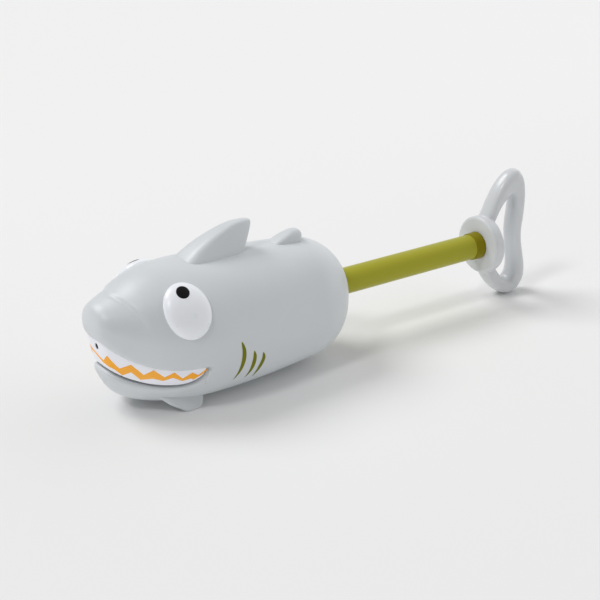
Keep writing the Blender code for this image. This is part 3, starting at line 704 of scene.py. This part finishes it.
def noise(tree, scale, detail=3.0, stretch=(1.0, 1.0, 1.0)):
    place = tree.nodes.new("ShaderNodeTexCoord")
    mapping = tree.nodes.new("ShaderNodeMapping")
    mapping.inputs["Scale"].default_value = stretch
    tree.links.new(place.outputs["Object"], mapping.inputs["Vector"])
    made = tree.nodes.new("ShaderNodeTexNoise")
    made.inputs["Scale"].default_value = scale
    made.inputs["Detail"].default_value = detail
    tree.links.new(mapping.outputs["Vector"], made.inputs["Vector"])
    return made.outputs["Fac"]


def spread(tree, factor, low, high):
    """Noise, which keeps near its middle, spread over a range."""
    made = tree.nodes.new("ShaderNodeMapRange")
    made.inputs["From Min"].default_value = 0.3
    made.inputs["From Max"].default_value = 0.7
    made.inputs["To Min"].default_value = low
    made.inputs["To Max"].default_value = high
    tree.links.new(factor, made.inputs["Value"])
    return made.outputs["Result"]


def moulded(name, colour, other, roughness, mottle=35.0, grain=2500.0, grain_depth=0.00002,
            stretch=(1.0, 1.0, 1.0), specular=0.5, uneven=0.04, metallic=0.0):
    """Moulded or extruded material: colour that drifts a little, uneven gloss and a fine grain."""
    made, tree, shader = new_material(name)
    drift = spread(tree, noise(tree, mottle, 4.0, stretch), 0.0, 1.0)
    mix = tree.nodes.new("ShaderNodeMix")
    mix.data_type = "RGBA"
    mix.inputs["A"].default_value = (*colour, 1.0)
    mix.inputs["B"].default_value = (*other, 1.0)
    tree.links.new(drift, mix.inputs["Factor"])
    tree.links.new(mix.outputs["Result"], shader.inputs["Base Color"])
    gloss = spread(tree, noise(tree, mottle * 4, 3.0, stretch), roughness - uneven, roughness + uneven)
    tree.links.new(gloss, shader.inputs["Roughness"])
    bump = tree.nodes.new("ShaderNodeBump")
    bump.inputs["Strength"].default_value = 0.5
    bump.inputs["Distance"].default_value = grain_depth
    tree.links.new(noise(tree, grain, 2.0, stretch), bump.inputs["Height"])
    tree.links.new(bump.outputs["Normal"], shader.inputs["Normal"])
    shader.inputs["Specular IOR Level"].default_value = specular
    shader.inputs["Metallic"].default_value = metallic
    return made


VINYL = moulded("grey_vinyl", (0.622, 0.652, 0.671), (0.642, 0.672, 0.691), 0.39)
CAP_GREY = moulded("grey_cap", (0.612, 0.642, 0.661), (0.632, 0.662, 0.681), 0.38)
HANDLE_GREY = moulded("grey_handle", (0.630, 0.648, 0.666), (0.640, 0.658, 0.676), 0.24, uneven=0.01,
                      grain_depth=0.000003)
TOOTH = moulded("tooth_white", (0.87, 0.88, 0.94), (0.89, 0.90, 0.96), 0.38)
ORANGE = moulded("zigzag_orange", (1.0, 0.42, 0.010), (1.0, 0.44, 0.016), 0.45, mottle=120.0, specular=0.5)
GILL = moulded("gill_green", (0.165, 0.175, 0.001), (0.185, 0.190, 0.003), 0.45, mottle=160.0, specular=0.12)
EYE = moulded("eye_white", (0.85, 0.87, 0.91), (0.87, 0.89, 0.93), 0.30)
PUPIL = moulded("pupil_black", (0.004, 0.004, 0.005), (0.007, 0.007, 0.008), 0.30, specular=0.15)
ROD_GREEN = moulded("rod_green", (0.355, 0.345, 0.013), (0.38, 0.365, 0.019), 0.32, mottle=60.0,
                    stretch=(0.06, 1.0, 1.0), specular=0.25)
# Painted shade: the collar has its own olive, made darker than the rod to carry the shade where the rod meets
# the hub
COLLAR_SHADE_GREEN = moulded("collar_green", (0.225, 0.19, 0.001), (0.245, 0.205, 0.002), 0.38, mottle=90.0,
                       specular=0.12)
PUMP = moulded("pump_white", (0.70, 0.71, 0.71), (0.74, 0.75, 0.75), 0.42)
# Painted shade: the nozzle tip is a dark plastic, made near black so that the hole in the tooth band shows
# the shade of a deep hole
NOZZLE_SHADE_BLACK = moulded("nozzle_shade_black", (0.010, 0.010, 0.011), (0.016, 0.016, 0.017), 0.45)
RUBBER = moulded("seal_rubber", (0.014, 0.014, 0.015), (0.022, 0.022, 0.023), 0.70)
STEEL = moulded("screw_steel", (0.55, 0.55, 0.56), (0.62, 0.62, 0.63), 0.32, mottle=200.0, metallic=1.0)


# Pieces

def place(piece, body, slot, *nodes):
    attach(piece, body)
    if nodes:
        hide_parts(*nodes)
    return piece


def add_fin(body, slices, tip, grows, taper=0.0, mirrored=False):
    """Joins a fin to the body; a mirrored one lies on the other side of the centre plane."""
    field, low, high = fin_gap(slices, tip, grows, taper)
    if mirrored:
        low, high = (low[0], -high[1], low[2]), (high[0], -low[1], high[2])
    combine(body, "UNION", formed("fin", field, low, high, FIN_CELL, VINYL))


def make_body():
    body = formed("shark_body", shark_gap, *SKIN_BOX, SKIN_CELL, VINYL)
    add_fin(body, DORSAL_FIN, DORSAL_TIP, 1, DORSAL_TAPER)
    add_fin(body, REAR_FIN, REAR_TIP, 1)
    add_fin(body, SIDE_FIN, -AXIS_HEIGHT, -1)
    add_fin(body, SIDE_FIN, -AXIS_HEIGHT, -1, mirrored=True)
    wide = BARREL_R + FIT
    cone = CAP_CONE_END - 2 * FIT
    past = 0.01
    opening = [(BODY_LENGTH + past, REAR_CAP_R + FIT), (BARREL_REAR, REAR_CAP_R + FIT)]
    room = [(BARREL_REAR, wide), (cone, wide), (cone - wide / 2, NOZZLE_ROOM), (-past, NOZZLE_ROOM)]
    rings = [[(s, r * cos(a), r * sin(a)) for a in tau * np.arange(ROUND_STEPS) / ROUND_STEPS]
             for s, r in opening + room]
    combine(body, "DIFFERENCE", loft("pump_room", rings, VINYL))
    place(body, "body", "grey_vinyl", "body_shell")


def make_tooth_band():
    band = formed("tooth_band_face", band_gap, *BAND_BOX, BAND_CELL, TOOTH)
    place(band, "body", "tooth_white", "tooth_band")


def strip(name, lines, surface, finish):
    """A thin painted strip on a surface; lines are rows of points across it, from end to end."""
    lines = np.asarray(lines)
    rows, count = lines.shape[:2]
    flat = lines.reshape(-1, 3)
    normal = outward(surface, flat)
    face = (flat + PAINT_RAISE * normal).reshape(rows, count, 3)
    back = (flat - PAINT_SINK * normal).reshape(rows, count, 3)
    return loft(name, np.concatenate([face, back[:, ::-1]], axis=1), finish)


def make_zigzag():
    def face_gap(x, y, z):
        return head_gap(x, y, z) + tooth_setback(x)

    def edge(side, front):
        return np.array([(-angle, height) for angle, height in side[::-1]] + front + side).T
    upper, lower = edge(ZIGZAG_UPPER, FRONT_LINE_UPPER), edge(ZIGZAG_LOWER, FRONT_LINE_LOWER)
    last = ZIGZAG_UPPER[-1][0]
    angles = np.array(sorted({*upper[0], *lower[0], *np.arange(-last + 0.5, last, 1.0)}))
    top, under = np.interp(angles, *upper), np.interp(angles, *lower)
    share = np.linspace(0.0, 1.0, ZIGZAG_ROWS)
    height = under[:, None] + (top - under)[:, None] * share
    turn = np.broadcast_to(np.radians(angles)[:, None], height.shape)
    starts = np.stack([np.full(height.size, JAW_CENTRE), np.zeros(height.size), height.ravel()], axis=1)
    ways = np.stack([-np.cos(turn).ravel(), -np.sin(turn).ravel(), np.zeros(height.size)], axis=1)
    points = shoot(face_gap, starts, ways, JAW_REACH).reshape(*height.shape, 3)
    place(strip("zigzag", points, face_gap, ORANGE), "body", "tooth_white")


def make_gills():
    for side, label in ((-1, "left"), (1, "right")):
        for number, gill in enumerate(GILLS, 1):
            path = np.array(gill)
            run = np.concatenate([[0.0], np.cumsum(np.linalg.norm(np.diff(path, axis=0), axis=1))])
            at = np.linspace(0.0, run[-1], GILL_STEPS)
            line = np.stack([smooth_curve(run, path[:, k], at) for k in (0, 1)], axis=1)
            along = np.gradient(line, axis=0)
            along /= np.linalg.norm(along, axis=1, keepdims=True)
            out = np.stack([along[:, 1], -along[:, 0]], axis=1)
            share = at / run[-1]
            half = GILL_HALF_WIDTH * (np.sin(pi * share ** 0.8) ** 0.8 + 0.02)
            wide = np.linspace(-1.0, 1.0, GILL_ROWS)
            flat = line[:, None, :] + out[:, None, :] * (half[:, None] * wide)[..., None]
            along_x, along_z = flat[..., 0].ravel(), flat[..., 1].ravel()
            starts = np.stack([along_x, np.zeros(along_x.size), along_z], axis=1)
            ways = np.broadcast_to((0.0, float(side), 0.0), starts.shape)
            points = shoot(head_gap, starts, ways, FLANK_REACH).reshape(*flat.shape[:2], 3)
            place(strip("gill_%s_%d" % (label, number), points, head_gap, GILL), "body", "grey_vinyl")


def eye_frame(side):
    """Directions along the eye, up it and out of it, and its middle on the skin."""
    angle = radians(EYE_ANGLE)
    up, _, half, waist = (float(value) for value in section(np.array(EYE_STATION)))
    middle = np.array((EYE_STATION, side * half * cos(angle), waist + up * sin(angle)))
    out = Vector(outward(skin_gap, middle[None, :])[0])
    along = Vector((0.0, 0.0, 1.0)).cross(out).normalized() * -side
    rise = out.cross(along) * -side
    tilt = radians(EYE_TILT)
    along, rise = along * cos(tilt) - rise * sin(tilt), rise * cos(tilt) + along * sin(tilt)
    return np.array(along), np.array(rise), np.array(out), middle


def eye_face(frame_of_eye, across, over):
    """Points of the eye's face, with the directions out of it, at places along and up the eye."""
    along, rise, out, middle = frame_of_eye
    flat = middle + across.reshape(-1, 1) * along + over.reshape(-1, 1) * rise
    on_skin = shoot(head_gap, flat - EYE_DEPTH * out, np.broadcast_to(out, flat.shape), 3 * EYE_DEPTH)
    normal = outward(skin_gap, on_skin)
    off = np.hypot(across / EYE_HALF_LENGTH, over / EYE_HALF_HEIGHT).reshape(-1)
    height = EYE_RIM + (EYE_CROWN - EYE_RIM) * (1 - off ** 2)
    height = np.maximum(height, 0.0) * np.sqrt(np.clip(1 - off ** EYE_EDGE, 0.0, 1.0))
    return on_skin + height[:, None] * normal, on_skin, normal


def disc(name, frame_of_eye, centre, half_sizes, face_of, back_of, finish):
    """A disc on the eye's place: rings over its face from the middle out, and back underneath. Two functions
    give its face and its back from the eye's face, the skin, the way out and the share of the way to the rim.
    """
    turns = tau * np.arange(EYE_STEPS) / EYE_STEPS

    def ring(share, angles):
        across = centre[0] + half_sizes[0] * share * np.cos(angles)
        over = centre[1] + half_sizes[1] * share * np.sin(angles)
        places = eye_face(frame_of_eye, across, over)
        return face_of(*places, share), back_of(*places)
    shares = np.sin(np.linspace(0.04, 1.0, EYE_RINGS) * pi / 2)
    upper, lower = zip(*(ring(share, turns) for share in shares))
    first, last = (middle[0] for middle in ring(0.0, turns[:1]))
    return loft(name, upper + lower[::-1], finish, first, last, sharp=60)


def make_eyes():
    def eye_top(face, on_skin, normal, share):
        return face

    def eye_back(face, on_skin, normal):
        return on_skin - EYE_SINK * normal

    def pupil_top(face, on_skin, normal, share):
        return face + PUPIL_RAISE * (1 - share ** 6) ** 0.5 * normal

    def pupil_back(face, on_skin, normal):
        return face - PUPIL_RAISE * normal

    eye_size, pupil_size = (EYE_HALF_LENGTH, EYE_HALF_HEIGHT), (PUPIL_R, PUPIL_R)
    for side, label in ((-1, "left"), (1, "right")):
        on_head = eye_frame(side)
        eye = disc(label + "_eye_disc", on_head, (0.0, 0.0), eye_size, eye_top, eye_back, EYE)
        place(eye, "body", "eye_white", label + "_eye")
        pupil = disc(label + "_pupil_disc", on_head, (0.0, PUPIL_UP), pupil_size, pupil_top, pupil_back,
                     PUPIL)
        place(pupil, "body", "pupil_black", label + "_pupil")


def make_rear_cap():
    cap = formed("tail_cap", rear_cap_gap, (CHAMBER_REAR, -REAR_CAP_R, -REAR_CAP_R),
                 (BODY_LENGTH, REAR_CAP_R, REAR_CAP_R), CAP_CELL, CAP_GREY)
    place(cap, "body", "grey_cap", "rear_cap")


def make_plunger():
    inner, edge = ROD_R - ROD_WALL, ROD_EDGE
    rod = turned("rod_tube", [
        (ROD_R - edge, ROD_FRONT), (ROD_R, ROD_FRONT + edge), (ROD_R, ROD_END - edge),
        (ROD_R - edge, ROD_END), (inner, ROD_END), (inner, ROD_FRONT),
    ], ROD_GREEN)
    place(rod, "plunger", "rod_green", "plunger_rod")
    front, rear = COLLAR_LOW.x - NOSE_X, COLLAR_HIGH.x - NOSE_X
    hole = ROD_R + COLLAR_GAP
    outer = hole + COLLAR_WALL
    # Painted shade: the collar's darker olive stands in for the shade next to the hub
    collar = turned("collar_band", [
        (outer - COLLAR_WALL / 2, front), (outer, front + COLLAR_WALL / 2), (outer + COLLAR_FLARE, rear),
        (hole, rear), (hole, front),
    ], COLLAR_SHADE_GREEN)
    place(collar, "plunger", "collar_green", "rod_collar")
    handle = formed("tail_handle", handle_gap, (HUB_FACE - SPIGOT_LENGTH, -HUB_R, -AXIS_HEIGHT),
                    (HUB_FACE + TAIL_LENGTH, HUB_R, TAIL_HEIGHT), HANDLE_CELL, HANDLE_GREY)
    place(handle, "plunger", "grey_handle", "handle")


INNER_FINISHES = {
    "pump_barrel": PUMP, "barrel_front_cap": PUMP, "front_cap_o_ring": RUBBER, "nozzle_tip": NOZZLE_SHADE_BLACK,
    "rod_wiper": RUBBER, "piston_head": PUMP, "piston_o_ring": RUBBER, "piston_washer": STEEL,
    "piston_screw": STEEL, "rod_plug": PUMP,
}


def dress_inner_pieces():
    for node, finish in INNER_FINISHES.items():
        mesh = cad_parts[node].data
        mesh.materials.clear()
        mesh.materials.append(finish)


# Floor, light and camera

def make_floor():
    made, tree, shader = new_material("pale_floor")
    place = tree.nodes.new("ShaderNodeSeparateXYZ")
    tree.links.new(tree.nodes.new("ShaderNodeTexCoord").outputs["Object"], place.inputs["Vector"])
    # Painted shade: the floor's colour darkens towards the front, standing in for the light falling off
    # across it
    shade = tree.nodes.new("ShaderNodeMapRange")
    shade.interpolation_type = "SMOOTHSTEP"
    for name, value in FLOOR_FALLOFF_SHADE.items():
        shade.inputs[name].default_value = value
    tree.links.new(place.outputs["Y"], shade.inputs["Value"])
    tree.links.new(shade.outputs["Result"], shader.inputs["Base Color"])
    shader.inputs["Roughness"].default_value = 0.8
    shader.inputs["Specular IOR Level"].default_value = 0.2
    mesh = bpy.data.meshes.new("floor")
    corners = [(x * FLOOR_REACH, y * FLOOR_REACH, 0.0) for x, y in ((-1, -1), (1, -1), (1, 1), (-1, 1))]
    mesh.from_pydata(corners, [], [(0, 1, 2, 3)])
    mesh.materials.append(made)
    floor = bpy.data.objects.new("floor", mesh)
    bpy.context.scene.collection.objects.link(floor)
    # The lamp below shines through the floor
    floor.visible_shadow = False


def add_sun(name, towards, width, strength):
    light = bpy.data.lights.new(name, "SUN")
    light.angle = radians(width)
    light.energy = strength
    obj = bpy.data.objects.new(name, light)
    obj.rotation_euler = (-Vector(towards)).to_track_quat("-Z", "Y").to_euler()
    bpy.context.scene.collection.objects.link(obj)


def make_sky():
    """A sky over the floor that gets brighter upwards and to the right."""
    world = bpy.data.worlds.new("studio")
    world.use_nodes = True
    tree = world.node_tree

    def join(operation, first, second):
        node = tree.nodes.new("ShaderNodeMath")
        node.operation = operation
        for socket, value in zip(node.inputs, (first, second)):
            if isinstance(value, float):
                socket.default_value = value
            else:
                tree.links.new(value, socket)
        return node.outputs["Value"]
    way = tree.nodes.new("ShaderNodeSeparateXYZ")
    tree.links.new(tree.nodes.new("ShaderNodeTexCoord").outputs["Generated"], way.inputs["Vector"])
    beside = join("POWER", join("MAXIMUM", way.outputs["X"], 0.0), 2.0)
    above = join("ADD", join("MULTIPLY", way.outputs["Z"], SKY_RISE), SKY_LOW)
    total = join("ADD", join("MULTIPLY", beside, SKY_RIGHT), above)
    total = join("MULTIPLY", total, join("GREATER_THAN", way.outputs["Z"], SKY_EDGE))
    tree.links.new(total, tree.nodes["Background"].inputs["Strength"])
    tree.nodes["Background"].inputs["Color"].default_value = (1.0, 1.0, 1.0, 1.0)
    bpy.context.scene.world = world


def make_light():
    make_sky()
    for name, lamp in LAMPS.items():
        add_sun(name, *lamp)
    bpy.context.scene.view_settings.view_transform = "Standard"


def make_camera():
    camera = bpy.data.cameras.new("camera")
    camera.lens = CAMERA_LENS
    camera.sensor_width = CAMERA_SENSOR
    camera.clip_start = 0.01
    turn, tilt = radians(CAMERA_AZIMUTH), radians(CAMERA_ELEVATION)
    back = Vector((sin(turn) * cos(tilt), -cos(turn) * cos(tilt), sin(tilt)))
    obj = bpy.data.objects.new("camera", camera)
    obj.location = Vector(ORIGIN) + Vector(CAMERA_AIM) + CAMERA_DISTANCE * back
    obj.rotation_euler = (pi / 2 - tilt, 0.0, turn)
    bpy.context.scene.collection.objects.link(obj)
    bpy.context.scene.camera = obj


make_camera()
make_light()
make_floor()
make_body()
make_tooth_band()
make_zigzag()
make_gills()
make_eyes()
make_rear_cap()
make_plunger()
dress_inner_pieces()

bpy.context.view_layer.update()
